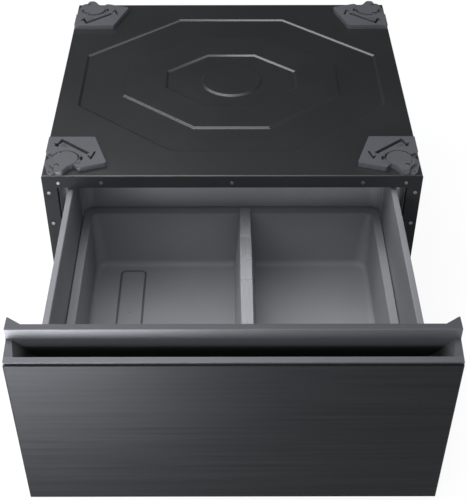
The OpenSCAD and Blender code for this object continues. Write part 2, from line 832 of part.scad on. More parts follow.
// Folded side: inner wall, bright top flange, outer wall, bottom fold and front tab
module drawer_side() {
  t = box_sheet;
  bend = 2;
  mid = (box_half + box_in)/2;
  difference() {
    union() {
      along_y(box_y0, box_y1) {
        translate([-mid, flange_z]) difference() {
          round_top(flange_w, flange_z - box_bottom, bend);
          translate([0, -t]) round_top(flange_w - 2*t, flange_z - box_bottom, bend - t);
          area([-flange_w, -flange_z + box_bottom - 1], [0, slide_z - 40 - flange_z]);
        }
        area([-box_in - t, box_bottom], [-box_in + 16, box_bottom + t]);
      }
      span([-box_half - 13, box_y0, box_bottom + 32], [-box_half + t, box_y0 + t, flange_z - 14]);
    }
    for (z = drawer_screw_z) rod_y(-drawer_screw_x, z, box_y0 - 1, box_y0 + 3, screw_r + hole_gap);
    for (y = slide_screw_y())
      rod_x(y - travel, slide_z, -box_half - 1, -box_half + 3, screw_r + hole_gap);
  }
}

drawer_screw_x = box_half + 7;
drawer_screw_z = [box_bottom + 46, (box_bottom + flange_z)/2, flange_z - 38];

module left_drawer_side() color("#b4b5b9") placed() on_side(-1) drawer_side();

module right_drawer_side() color("#b4b5b9") placed() on_side(1) drawer_side();

// Back with rounded corners that lap onto the sides
module drawer_back() {
  t = box_sheet;
  lap = 12;
  top = flange_z - 4;
  color("#5c5d61") placed() difference() {
    translate([0, 0, base_z]) linear_extrude(top - base_z)
      round_rect([-box_in, box_y1 - 2*box_corner - lap], [box_in, box_y1], box_corner);
    translate([0, 0, base_z - 1]) linear_extrude(top - base_z + 2)
      round_rect([-box_in + t, box_y1 - 2*box_corner - lap - 9], [box_in - t, box_y1 - t], box_corner - t);
    span([-box_in - 1, box_y0, base_z - 1], [box_in + 1, box_y1 - box_corner - lap, top + 1]);
  }
}

// Floor pan on the sides' bottom folds
module drawer_base() {
  t = box_sheet;
  color("#6b6d70") placed() difference() {
    span([-box_in, box_y0, box_bottom + t], [box_in, box_y1 - box_corner, base_z]);
    for (x = [-0.5, 0.5], y = [0.25, 0.5, 0.75])
      translate([2*x*box_in*0.55, box_y0 + y*box_l, box_bottom - 1]) cylinder(h = 8, r = 14);
  }
}

// Cavity of the tub: drafted walls, rounded corners and a rounded foot, grown by g
module tub_cavity(g, top) {
  r = tub_fillet + g;
  steps = 4;
  hull() {
    for (k = [0:steps]) {
      a = 90*k/steps;
      translate([0, 0, floor_z - g + r*(1 - cos(a))]) linear_extrude(eps)
        cavity_outline(g - r*(1 - sin(a)), 0);
    }
    translate([0, 0, top]) linear_extrude(eps) cavity_outline(g, 1);
  }
}

// Plan of the cavity at its floor (up = 0) or its mouth (up = 1), grown by g
module cavity_outline(g, up) {
  d = 1 - up;
  r = tub_corner - 12*up + g;
  round_rect([-tub_in_half + side_draft*d - g, tub_in_y0 + end_draft*d - g],
    [tub_in_half - side_draft*d + g, tub_in_y1 - end_draft*d + g], max(r, 4), $fn = 32);
}

module tub() {
  rib_x = [-0.8, -0.4, 0.4, 0.8];
  groove_depth = 1;
  groove = [[-0.811*tub_in_half, tub_in_y0 + 40], [-0.622*tub_in_half, tub_in_y1 - 33]];
  color("#77787c") placed() difference() {
    union() {
      translate([0, 0, rim_z - rim_t]) linear_extrude(rim_t)
        round_rect([-tub_half, tub_y0], [tub_half, tub_y1], box_corner - seat_gap);
      translate([0, 0, rim_z - rim_skirt]) difference() {
        linear_extrude(rim_skirt - 1)
          round_rect([-tub_half, tub_y0], [tub_half, tub_y1], box_corner - seat_gap);
        translate([0, 0, -1]) linear_extrude(rim_skirt + 2)
          round_rect([-tub_half + tub_wall, tub_y0 + tub_wall],
            [tub_half - tub_wall, tub_y1 - tub_wall], box_corner - seat_gap - tub_wall);
      }
      tub_cavity(tub_wall, rim_z - 1);
      for (k = rib_x) span([k*tub_in_half - 1.2, tub_in_y0 + 40, base_z],
        [k*tub_in_half + 1.2, tub_in_y1 - 40, floor_z - 1]);
      for (y = [0.2, 0.5, 0.8]) translate([0, tub_y0 + y*(tub_y1 - tub_y0), 0])
        span([-0.8*tub_in_half, -1.2, base_z], [0.8*tub_in_half, 1.2, floor_z - 1]);
    }
    tub_cavity(0, rim_z + 1);
    // groove round the pressed field of the left floor
    translate([0, 0, floor_z - groove_depth]) linear_extrude(4) difference() {
      round_rect(groove[0], groove[1], 12);
      round_rect(groove[0] + [4, 4], groove[1] - [4, 4], 8);
    }
  }
  color("#77787c") placed() {
    // moulding mark on the left floor
    translate([-0.714*tub_in_half, tub_in_y1 - 0.34*(tub_in_y1 - tub_in_y0), floor_z - 0.4])
      cylinder(h = 1.2, r = 4);
  }
}

// ---- divider ----

// Stepped top edge of the divider from its back to its front, sunk by d
function divider_steps(d) =
  let (
    top = rim_z + divider_hook - d,
    y = tub_in_y1 - 62)
  [[y + 42 + d, top], [y + 8 + d, top - 5], [y + d, top - 8], [y - 2.5 + d, top - 10.5],
   [y - 57 + d, top - 11], [y - 59.5 + d, top - 13.5], [y - 119 + d, top - 14],
   [y - 120 + d, top - 15.5], [tub_in_y0 + 40, top - 4], [tub_in_y0 + 30, top]];

// Side view: upright ends inside the tub and a hook over each rim
module divider_profile() {
  y0 = tub_in_y0 - divider_lap;
  y1 = tub_in_y1 + divider_lap;
  foot = floor_z + run_gap;
  hook = rim_z + run_gap;
  top = rim_z + divider_hook;
  in = divider_end_gap;
  polygon(concat(
    [[tub_in_y0 + end_draft + in + tub_fillet, foot], [tub_in_y1 - end_draft - in - tub_fillet, foot],
     [tub_in_y1 - end_draft - in, foot + tub_fillet], [tub_in_y1 - in, hook - 4],
     [tub_in_y1 - in, hook], [y1, hook], [y1, top]],
    divider_steps(0),
    [[y0, top], [y0, hook], [tub_in_y0 + in, hook], [tub_in_y0 + in, hook - 4],
     [tub_in_y0 + end_draft + in, foot + tub_fillet]]));
}

// Side view of its hollow, one wall inside and open underneath
module divider_hollow() {
  w = divider_wall;
  in = divider_end_gap + w;
  foot = floor_z + run_gap - 1;
  hook = rim_z + run_gap;
  top = rim_z + divider_hook - w;
  polygon(concat(
    [[tub_in_y0 + end_draft + in + tub_fillet, foot], [tub_in_y1 - end_draft - in - tub_fillet, foot],
     [tub_in_y1 - end_draft - in, foot + tub_fillet], [tub_in_y1 - in, hook - 4], [tub_in_y1 - in, top]],
    divider_steps(w),
    [[tub_in_y0 + in, top], [tub_in_y0 + in, hook - 4],
     [tub_in_y0 + end_draft + in, foot + tub_fillet]]));
}

// Cross section of the divider, drafted from foot to top, inset by d
module divider_section(d) {
  h0 = floor_z - 2;
  h1 = rim_z + divider_hook + 2;
  polygon([[divider_x - divider_foot/2 + d, h0], [divider_x + divider_foot/2 - d, h0],
    [divider_x + divider_top/2 - d, h1], [divider_x - divider_top/2 + d, h1]]);
}

// Hollow divider, open underneath, that hooks over the tub's rims
module divider() {
  y0 = tub_in_y0 - divider_lap;
  y1 = tub_in_y1 + divider_lap;
  w = divider_foot/2 + 1;
  color("#8e9094") placed() difference() {
    intersection() {
      along_x(divider_x - w, divider_x + w) divider_profile();
      along_y(y0 - 1, y1 + 1) divider_section(0);
      translate([0, 0, floor_z - 1]) linear_extrude(tub_depth + 20)
        round_rect([divider_x - divider_foot/2, y0], [divider_x + divider_foot/2, y1], 8);
    }
    intersection() {
      along_x(divider_x - w, divider_x + w) divider_hollow();
      along_y(y0 - 1, y1 + 1) divider_section(divider_wall);
    }
  }
}

// ---- drawer front ----

// Front skin seen from the side and from above, inset by t, with its folds
module skin_block(t, fold) {
  z0 = front_bottom + t;
  z1 = skin_top - t;
  w = half_w - t;
  r = skin_bend - t;
  intersection() {
    along_x(-w, w) translate([face_y, 0]) {
      area([t, z0 + r], [fold, z1]);
      area([t + r, z0], [fold, z1]);
      translate([t + r, z0 + r]) circle(r);
    }
    translate([0, 0, z0]) linear_extrude(z1 - z0) translate([0, face_y]) {
      area([-w, t + r], [w, fold]);
      area([-w + r, t], [w - r, fold]);
      for (s = [-1, 1]) translate([s*(w - r), t + r]) circle(r);
    }
    along_y(face_y - 1, face_y + fold + 1) {
      area([-w, z0 + r], [w, z1]);
      area([-w + r, z0], [w - r, z1]);
      for (s = [-1, 1]) translate([s*(w - r), z0 + r]) circle(r);
    }
  }
}

// Brushed steel skin, folded round the core, with a hem along its top
module front_skin() {
  hem = 2*skin_t + 0.2;
  color("#5b5c60") placed() difference() {
    skin_block(0, skin_fold);
    difference() {
      skin_block(skin_t, skin_fold + 1);
      span([-half_w, face_y, skin_top - 9], [half_w, face_y + hem, skin_top + 1]);
    }
    span([-half_w - 1, face_y + hem, lip_foot - 0.3], [half_w + 1, face_y + 40, skin_top + 1]);
  }
}

// Moulded core behind the skin: a shell with ribs, its sides reach back to the cabinet
module front_core() {
  w = half_w - skin_t - 0.2;
  z0 = front_bottom + skin_t + 0.2;
  z1 = skin_top - 9.5;
  low = recess_z - mould_wall - 3;
  m = mould_wall;
  d0 = skin_t + skin_bend - 1.5;
  color("#232427") placed() translate([0, face_y, 0]) {
    // front plate
    span([-w, d0, z0 + 1], [w, d0 + m, z1]);
    // walls behind the skin's folds, then flush with them
    for (s = [-1, 1]) {
      span([min(s*w, s*(w - m)), d0, z0 + 1], [max(s*w, s*(w - m)), skin_fold + 1, z1]);
      span([min(s*half_w, s*(half_w - 2*m)), skin_fold + 0.3, front_bottom],
        [max(s*half_w, s*(half_w - 2*m)), front_t, lip_foot]);
    }
    span([-w + 2, d0, z0], [w - 2, skin_fold + 1, z0 + m]);
    span([-half_w, skin_fold + 0.3, front_bottom], [half_w, ledge_back, front_bottom + 1.5*m]);
    // shelf under the handle's recess
    span([-half_w + m, d0, low - m], [half_w - m, ledge_back, low]);
    // ribs
    for (k = [-2:2]) span([k*cab_w/6 - m/2, d0, z0 + 1], [k*cab_w/6 + m/2, ledge_back - 6, low - 1]);
    span([-w + 1, d0, (z0 + low)/2 - m/2], [w - 1, ledge_back - 6, (z0 + low)/2 + m/2]);
  }
}

// Steel panel that closes the drawer front and carries the drawer box
module front_inner_panel() {
  w = half_w - 2*mould_wall - 0.3;
  y0 = face_y + ledge_back;
  color("#8d9094") placed() difference() {
    span([-w, y0, front_bottom + 5], [w, y0 + sheet, skin_top - 10]);
    for (s = [-1, 1], z = drawer_screw_z)
      rod_y(s*drawer_screw_x, z, y0 - 1, y0 + 3, screw_r + hole_gap);
  }
}

// Height of the sloping rim at d behind the skin's face
function rim_at(d) = rim_end_z - rim_slope*(ledge_d - d);

// Half of the recess seen from the front, grown by g: floor, bend and sloping end
function recess_points(g) =
  let (
    r = recess_bend + g,
    cx = recess_half - (rim_end_z - recess_z - recess_bend*(1 - cos(recess_slope)))/tan(recess_slope)
      - recess_bend*sin(recess_slope),
    cz = recess_z + recess_bend,
    rise = 60)
  concat(
    [for (k = [0:8]) [cx + r*sin(recess_slope*k/8), cz - r*cos(recess_slope*k/8)]],
    [[cx + r*sin(recess_slope) + rise, cz - r*cos(recess_slope) + rise*tan(recess_slope)]]);

module recess_area(g) {
  p = recess_points(g);
  n = len(p);
  polygon(concat(p, [for (i = [n - 1:-1:0]) [-p[i].x, p[i].y]]));
}

// Ledge in plan: straight, with a horn reaching back at each end
module ledge_plan() {
  back = front_t;
  half = half_w;
  polygon([[-half, ledge_d], [half, ledge_d], [half, back], [half - 2, back],
    [half - horn_w, ledge_back], [-half + horn_w, ledge_back], [-half + 2, back], [-half, back]]);
}

// Full-width moulded handle: lip, finger recess, back wall, ledge and horns
module handle() {
  m = mould_wall;
  edge = 1.5;
  color("#3a3b3e") placed() translate([0, face_y, 0]) {
    difference() {
      union() {
        // lip and end rims, sloping up to the back wall
        intersection() {
          along_x(-half_w, half_w) {
            polygon([[lip_gap + 1, rim_at(lip_gap + 1)], [ledge_d + eps, rim_at(ledge_d)],
              [ledge_d + eps, lip_foot], [lip_gap + 1, lip_foot]]);
            polygon([[lip_gap, lip_foot], [lip_gap, rim_at(lip_gap) - 1],
              [lip_gap + 0.3, rim_at(lip_gap) - 0.3], [lip_gap + 1, rim_at(lip_gap + 1)],
              [lip_gap + 1, lip_foot]]);
          }
          union() {
            span([-half_w, 0, 0], [half_w, recess_d + eps, 2*cab_h]);
            for (s = [-1, 1]) span([s < 0 ? -half_w : recess_half - 40, 0, 0],
              [s < 0 ? -recess_half + 40 : half_w, ledge_d + 1, 2*cab_h]);
          }
        }
        // shell of the recess
        intersection() {
          along_y(recess_d - m, ledge_d + m) recess_area(m);
          along_x(-half_w, half_w) polygon([[recess_d - m, 0], [ledge_d + m, 0],
            [ledge_d + m, rim_at(ledge_d)], [recess_d - m, rim_at(recess_d - m)]]);
        }
        // back wall and ledge
        along_x(-half_w, half_w) {
          area([ledge_d, lip_foot], [ledge_d + m, ledge_z - edge]);
          area([ledge_d + edge, ledge_z - m], [ledge_back - 0.5, ledge_z]);
          translate([ledge_d + edge, ledge_z - edge]) circle(edge);
          area([ledge_back - m, lip_foot], [ledge_back, ledge_z - 0.5]);
        }
        translate([0, 0, ledge_z - m]) linear_extrude(m) intersection() {
          ledge_plan();
          area([-half_w, ledge_d + edge], [half_w, front_t]);
        }
        // end walls under the horns, down to the core
        for (s = [-1, 1]) span([min(s*half_w, s*(half_w - m)), ledge_d + edge, lip_foot],
          [max(s*half_w, s*(half_w - m)), front_t, ledge_z - eps]);
      }
      along_y(recess_d, ledge_d) recess_area(0);
      span([-recess_half, recess_d, rim_end_z - eps], [recess_half, ledge_d, 2*cab_h]);
    }
  }
}

// Rubber stops on the inner panel that meet the cabinet's posts
module front_bumpers() {
  bumper_z = [open_bottom + 0.12*(open_top - open_bottom), open_top - 0.12*(open_top - open_bottom)];
  y0 = inner_y;
  y1 = face_y + front_t + front_gap - run_gap;
  color("#1c1c1d") placed() for (s = [-1, 1], z = bumper_z) {
    rod_y(s*(open_half + 7), z, y0, y1, 6);
    rod_y(s*(open_half + 7), z, y0, y0 + 2, 8);
  }
}

// Screws that hold the drawer sides to the inner panel
module drawer_screws() {
  y = box_y0 + box_sheet;
  color("#b9bbbd") placed() for (s = [-1, 1], z = drawer_screw_z) {
    rod_y(s*drawer_screw_x, z, y - 9, y, screw_r);
    rod_y(s*drawer_screw_x, z, y, y + screw_head_h, screw_head_r);
  }
}

top_panel();
left_side_panel();
right_side_panel();
back_panel();
front_frame();
front_top_brace();
rear_top_brace();
left_slide_carrier();
right_slide_carrier();
left_slide_outer();
right_slide_outer();
holder_front_left();
holder_front_right();
holder_rear_left();
holder_rear_right();
holder_screws();
frame_screws();
back_screws();
slide_screws_cabinet();
leg_bracket_front_left();
leg_bracket_front_right();
leg_bracket_rear_left();
leg_bracket_rear_right();
foot_lock_nuts();
foot_stud_front_left();
foot_stud_front_right();
foot_stud_rear_left();
foot_stud_rear_right();
foot_pad_front_left();
foot_pad_front_right();
foot_pad_rear_left();
foot_pad_rear_right();
left_slide_middle();
right_slide_middle();
left_outer_ball_cage();
right_outer_ball_cage();
left_inner_ball_cage();
right_inner_ball_cage();
left_drawer_side();
right_drawer_side();
drawer_back();
drawer_base();
tub();
left_slide_inner();
right_slide_inner();
slide_screws_drawer();
front_skin();
front_core();
front_inner_panel();
handle();
front_bumpers();
drawer_screws();
divider();
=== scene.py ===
import math
import bpy
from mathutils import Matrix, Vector


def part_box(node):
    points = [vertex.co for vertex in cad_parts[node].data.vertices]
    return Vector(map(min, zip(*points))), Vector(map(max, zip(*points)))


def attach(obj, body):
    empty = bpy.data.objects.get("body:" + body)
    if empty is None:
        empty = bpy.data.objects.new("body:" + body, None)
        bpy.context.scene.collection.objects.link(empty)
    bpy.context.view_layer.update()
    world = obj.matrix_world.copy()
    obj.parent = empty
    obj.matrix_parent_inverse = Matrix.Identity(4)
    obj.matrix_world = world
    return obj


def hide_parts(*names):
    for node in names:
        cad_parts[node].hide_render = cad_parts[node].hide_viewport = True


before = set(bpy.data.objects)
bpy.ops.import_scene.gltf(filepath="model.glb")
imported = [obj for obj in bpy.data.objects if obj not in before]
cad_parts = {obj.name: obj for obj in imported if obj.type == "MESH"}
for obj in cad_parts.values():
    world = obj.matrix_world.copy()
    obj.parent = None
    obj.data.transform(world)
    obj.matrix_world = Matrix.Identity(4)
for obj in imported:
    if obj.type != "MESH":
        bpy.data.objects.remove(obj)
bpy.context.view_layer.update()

# ---------------------------------------------------------------- camera
# A studio lens held well above the drawer and in front of it, as in the photograph.
# The frame is 467 x 500 and its centre lies above and a little right of the lens axis.
camera_data = bpy.data.cameras.new("studio_camera")
camera_data.lens = 74.01
camera_data.sensor_width = 36
camera_data.shift_x = 0.0119
camera_data.shift_y = 0.12
camera_data.clip_start = 0.05
camera = bpy.data.objects.new("studio_camera", camera_data)
camera.location = (-0.00938, -1.61118, 1.42981)
camera.rotation_euler = (math.radians(46.897), math.radians(0.05), math.radians(-0.08))
bpy.context.scene.collection.objects.link(camera)
bpy.context.scene.camera = camera
bpy.context.scene.view_settings.view_transform = "Standard"


# ---------------------------------------------------------------- studio
# A white cove under a dark ceiling. The floor keeps a soft shadow and is white where it
# is seen. Three softboxes hang above, with lamps at the left, the front and the rear and
# a low card before the handle, all set by comparing tones with the photograph.
def linear(hex_colour):
    """An sRGB hex colour as Blender's linear colour."""
    parts = [int(hex_colour[i:i + 2], 16)/255 for i in (1, 3, 5)]
    return [p/12.92 if p <= 0.04045 else ((p + 0.055)/1.055)**2.4 for p in parts] + [1]


def add_node(tree, kind, inputs, **settings):
    """Adds a shader node: inputs are numbers, colours or other nodes' sockets."""
    node = tree.nodes.new(kind)
    for name, value in settings.items():
        setattr(node, name, value)
    for name, value in inputs.items():
        if isinstance(value, bpy.types.NodeSocket):
            tree.links.new(value, node.inputs[name])
        else:
            node.inputs[name].default_value = value
    return node


def seen_directly(tree):
    """1 on the rays of the camera and of reflections, 0 on the light that falls on things."""
    path = add_node(tree, "ShaderNodeLightPath", {})
    seen = add_node(tree, "ShaderNodeMath", {0: path.outputs["Is Camera Ray"],
                                             1: path.outputs["Is Glossy Ray"]}, operation="ADD")
    return add_node(tree, "ShaderNodeMath", {0: seen.outputs[0],
                                             1: path.outputs["Is Transmission Ray"]},
                    operation="ADD", use_clamp=True).outputs[0]


def hang_white_air():
    """White air round the object. Reflections see it in front, fading to a dark ceiling
    and to a dark room behind."""
    world = bpy.data.worlds.new("white_air")
    world.use_nodes = True
    tree = world.node_tree
    tree.nodes.clear()
    light = add_node(tree, "ShaderNodeBackground", {"Color": linear("#f4f6fa"), "Strength": 0.8})
    way = add_node(tree, "ShaderNodeTexCoord", {}).outputs["Generated"]
    spot = add_node(tree, "ShaderNodeSeparateXYZ", {0: way})
    ceiling = add_node(tree, "ShaderNodeMapRange", {0: spot.outputs["Z"], 1: 0.02, 2: 0.35,
                                                    3: 1.0, 4: 0.06},
                       interpolation_type="SMOOTHSTEP")
    room = add_node(tree, "ShaderNodeMapRange", {0: spot.outputs["Y"], 1: 0.2, 2: 0.7,
                                                 3: 1.0, 4: 0.12},
                    interpolation_type="SMOOTHSTEP")
    level = add_node(tree, "ShaderNodeMath", {0: ceiling.outputs[0], 1: room.outputs[0]},
                     operation="MULTIPLY")
    seen = add_node(tree, "ShaderNodeLightPath", {}).outputs["Is Camera Ray"]
    shown = add_node(tree, "ShaderNodeMath", {0: level.outputs[0], 1: seen}, operation="MAXIMUM")
    plain = add_node(tree, "ShaderNodeBackground", {"Color": (1, 1, 1, 1),
                                                    "Strength": shown.outputs[0]})
    mix = add_node(tree, "ShaderNodeMixShader", {0: seen_directly(tree), 1: light.outputs[0],
                                                 2: plain.outputs[0]})
    add_node(tree, "ShaderNodeOutputWorld", {"Surface": mix.outputs[0]})
    bpy.context.scene.world = world


hang_white_air()

bpy.ops.object.select_all(action="DESELECT")
bpy.ops.mesh.primitive_plane_add(size=14, location=(0, 0, -0.0005))
floor = bpy.context.object
floor.name = "studio_floor"
floor_paint = bpy.data.materials.new("white_cove_paint")
floor_paint.use_nodes = True
tree = floor_paint.node_tree
tree.nodes.clear()
matt = add_node(tree, "ShaderNodeBsdfDiffuse", {"Color": linear("#e6e6e8")})
glow = add_node(tree, "ShaderNodeEmission", {"Color": (1, 1, 1, 1), "Strength": 1.0})
share = add_node(tree, "ShaderNodeMath", {0: seen_directly(tree), 1: 0.9}, operation="MULTIPLY")
mix = add_node(tree, "ShaderNodeMixShader", {0: share.outputs[0], 1: matt.outputs[0],
                                             2: glow.outputs[0]})
add_node(tree, "ShaderNodeOutputMaterial", {"Surface": mix.outputs[0]})
floor.data.materials.append(floor_paint)


def add_lamp(name, place, aim, size, power):
    """A softbox turned to face aim, size metres wide and high, that the camera can't see."""
    lamp = bpy.data.lights.new(name, "AREA")
    lamp.shape = "RECTANGLE"
    lamp.size, lamp.size_y = size
    lamp.energy = power
    stand = bpy.data.objects.new(name, lamp)
    stand.location = place
    stand.visible_camera = False
    stand.rotation_euler = (Vector(aim) - Vector(place)).to_track_quat("-Z", "Y").to_euler()
    bpy.context.scene.collection.objects.link(stand)


add_lamp("ceiling_softbox", (0.0, 0.2, 2.6), (0.0, 0.2, 0), (2.2, 2.2), 22)
add_lamp("left_softbox", (-1.3, 0.6, 2.6), (-1.0, 0.5, 0), (1.0, 3.0), 38)
add_lamp("front_softbox", (-0.7, -1.2, 2.6), (-0.4, -0.4, 0.2), (2.2, 1.6), 17)
add_lamp("left_lamp", (-1.4, -0.7, 1.6), (-0.1, -0.3, 0.2), (0.8, 0.8), 10)
add_lamp("rear_lamp", (-0.7, 1.4, 2.3), (-0.1, -0.3, 0.35), (0.9, 0.9), 4)
add_lamp("low_front_lamp", (-1.0, -2.8, 0.95), (0.0, 0.1, 0.34), (1.0, 0.3), 40)
add_lamp("low_card", (-0.42, -1.0, 0.08), (-0.3, -0.55, 0.28), (0.5, 0.3), 18)


# ---------------------------------------------------------------- painted cabinet
# Top, sides and back are cold-rolled steel, pressed and folded, with a charcoal powder
# coat. The top panel's octagons and circle are pressed one inside the other.
def new_finish(name):
    material = bpy.data.materials.new(name)
    material.use_nodes = True
    tree = material.node_tree
    tree.nodes.clear()
    return material, tree, add_node(tree, "ShaderNodeTexCoord", {}).outputs["Object"]


def close_finish(material, tree, inputs):
    shader = add_node(tree, "ShaderNodeBsdfPrincipled", inputs)
    add_node(tree, "ShaderNodeOutputMaterial", {"Surface": shader.outputs[0]})
    return material


def powder_coat(name, dark, light, rough, metal=0.0, sheen_level=0.5):
    """Baked powder: a satin face with an orange peel about 2 mm across and faint clouds."""
    material, tree, place = new_finish(name)
    clouds = add_node(tree, "ShaderNodeTexNoise", {"Vector": place, "Scale": 1000/160, "Detail": 3})
    cloud = add_node(tree, "ShaderNodeMapRange", {0: clouds.outputs["Fac"], 1: 0.3, 2: 0.7})
    colour = add_node(tree, "ShaderNodeMix", {0: cloud.outputs[0], 6: linear(dark), 7: linear(light)},
                      data_type="RGBA")
    peel = add_node(tree, "ShaderNodeTexNoise", {"Vector": place, "Scale": 1000/2.2, "Detail": 2})
    gloss = add_node(tree, "ShaderNodeMapRange", {0: peel.outputs["Fac"], 1: 0.25, 2: 0.75,
                                                  3: rough - 0.05, 4: rough + 0.05})
    bump = add_node(tree, "ShaderNodeBump", {"Height": peel.outputs["Fac"], "Strength": 0.12,
                                             "Distance": 0.0004})
    return close_finish(material, tree, {
        "Base Color": colour.outputs[2], "Roughness": gloss.outputs[0], "Normal": bump.outputs[0],
        "IOR": 1.5, "Metallic": metal, "Specular IOR Level": sheen_level})


def finish_node(name, material):
    """Gives a CAD node its real finish."""
    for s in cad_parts[name].material_slots:
        s.material = material


def open_copy(name, ending, material):
    """A copy of a CAD node with its loose triangles merged, ready to be shaped."""
    bpy.ops.object.select_all(action="DESELECT")
    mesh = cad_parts[name].data.copy()
    mesh.materials.clear()
    mesh.materials.append(material)
    piece = bpy.data.objects.new(name + ending, mesh)
    bpy.context.scene.collection.objects.link(piece)
    bpy.context.view_layer.objects.active = piece
    piece.select_set(True)
    bpy.ops.object.mode_set(mode="EDIT")
    bpy.ops.mesh.select_all(action="SELECT")
    bpy.ops.mesh.remove_doubles(threshold=1e-6)
    bpy.ops.mesh.dissolve_limited(angle_limit=math.radians(0.5))
    bpy.ops.mesh.select_all(action="DESELECT")
    bpy.ops.object.mode_set(mode="OBJECT")
    for face in mesh.polygons:
        face.material_index = 0
    return piece


def close_copy(piece, name, edge, body):
    """Rounds a copy's edges by edge metres and puts it in its node's place; faces that
    meet at more than 35 degrees keep a line between them."""
    rounding = piece.modifiers.new("rounded_edges", "BEVEL")
    rounding.width = edge
    rounding.segments = 2
    rounding.limit_method = "ANGLE"
    rounding.angle_limit = math.radians(28)
    bpy.context.view_layer.objects.active = piece
    bpy.ops.object.modifier_apply(modifier=rounding.name)
    bpy.ops.object.shade_smooth_by_angle(angle=math.radians(35))
    flat = piece.modifiers.new("flat_faces_stay_flat", "WEIGHTED_NORMAL")
    flat.keep_sharp = True
    bpy.ops.object.modifier_apply(modifier=flat.name)
    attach(piece, body)
    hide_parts(name)


def finish_copy(name, ending, edge, body, material):
    close_copy(open_copy(name, ending, material), name, edge, body)


top_coat = powder_coat("charcoal_powder_coat", "#18191b", "#1d1e20", 0.34, sheen_level=0.85)
for name in ("left_side_panel", "right_side_panel", "back_panel"):
    finish_copy(name, "_pressing", 0.0005, "cabinet", top_coat)

# The upper bends of the pressed steps are rounder than the sheet's cut edges. They lie
# in the field between the four holders, on the panel's top and one step below it.
top = open_copy("top_panel", "_pressing", top_coat)
sheet = 0.0012
step_depth = 0.003
bend_width = 0.0013
panel_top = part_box("top_panel")[1][2]
upper_levels = (panel_top, panel_top - step_depth)
field_x = 0.305
field_y = (-0.04, 0.51)
bpy.ops.object.mode_set(mode="EDIT")
bpy.ops.mesh.select_mode(type="EDGE")
bpy.ops.mesh.edges_select_sharp(sharpness=math.radians(25))
bpy.ops.object.mode_set(mode="OBJECT")
for edge in top.data.edges:
    ends = [top.data.vertices[v].co for v in edge.vertices]
    edge.select = edge.select and all(
        abs(e.x) < field_x and field_y[0] < e.y < field_y[1]
        and min(abs(e.z - z) for z in upper_levels) < sheet/10 for e in ends)
bpy.ops.object.mode_set(mode="EDIT")
bpy.ops.mesh.bevel(offset=bend_width, segments=3, profile=0.5)
bpy.ops.object.mode_set(mode="OBJECT")
close_copy(top, "top_panel", 0.0005, "cabinet")
# The front frame's coat is rougher and duller than the top's, to match the photograph.
frame_coat = powder_coat("dark_powder_coat", "#202123", "#252628", 0.7, sheen_level=0.06)
finish_copy("front_frame", "_pressing", 0.0004, "cabinet", frame_coat)


# ---------------------------------------------------------------- bare steel inside
# Braces, carriers, brackets and the inner panel are hot-dip galvanised sheet.
# Its zinc crystals give a faint patchwork of greys, 8 to 12 mm across.
def galvanised_sheet():
    material, tree, place = new_finish("galvanised_sheet")
    cells = add_node(tree, "ShaderNodeTexVoronoi", {"Vector": place, "Scale": 1000/10})
    tone = add_node(tree, "ShaderNodeSeparateColor", {0: cells.outputs["Color"]}).outputs[0]
    colour = add_node(tree, "ShaderNodeMix", {0: tone, 6: linear("#929497"), 7: linear("#9d9fa2")},
                      data_type="RGBA")
    gloss = add_node(tree, "ShaderNodeMapRange", {0: tone, 3: 0.43, 4: 0.49})
    return close_finish(material, tree, {
        "Base Color": colour.outputs[2], "Metallic": 0.85, "Roughness": gloss.outputs[0]})


zinc_sheet = galvanised_sheet()
for name in ("front_top_brace", "rear_top_brace", "left_slide_carrier", "right_slide_carrier",
             "front_inner_panel", "leg_bracket_front_left", "leg_bracket_front_right",
             "leg_bracket_rear_left", "leg_bracket_rear_right"):
    finish_node(name, zinc_sheet)


# ---------------------------------------------------------------- slides
# Each slide is three nested members of rolled steel, with a cage of balls between each
# two. Zinc plate drawn along the slide, dulled by a film of grease.
def zinc_plate(name, dark, light, rough, lie):
    """Plated steel: lie is the direction in which the drawing lines run."""
    material, tree, place = new_finish(name)
    along = add_node(tree, "ShaderNodeMapping", {"Vector": place, "Scale": [1/d for d in lie]})
    drawn = add_node(tree, "ShaderNodeTexNoise", {"Vector": along.outputs[0], "Scale": 1000/1.2,
                                                  "Detail": 2})
    colour = add_node(tree, "ShaderNodeMix", {0: drawn.outputs["Fac"], 6: linear(dark),
                                              7: linear(light)}, data_type="RGBA")
    gloss = add_node(tree, "ShaderNodeMapRange", {0: drawn.outputs["Fac"], 1: 0.25, 2: 0.75,
                                                  3: rough - 0.06, 4: rough + 0.08})
    return close_finish(material, tree, {
        "Base Color": colour.outputs[2], "Metallic": 1.0, "Roughness": gloss.outputs[0]})


slide_zinc = zinc_plate("greased_zinc_plate", "#66686b", "#7c7e81", 0.42, (1, 60, 1))
for side in ("left", "right"):
    for part in ("slide_outer", "slide_middle", "slide_inner", "outer_ball_cage", "inner_ball_cage"):
        finish_node(f"{side}_{part}", slide_zinc)


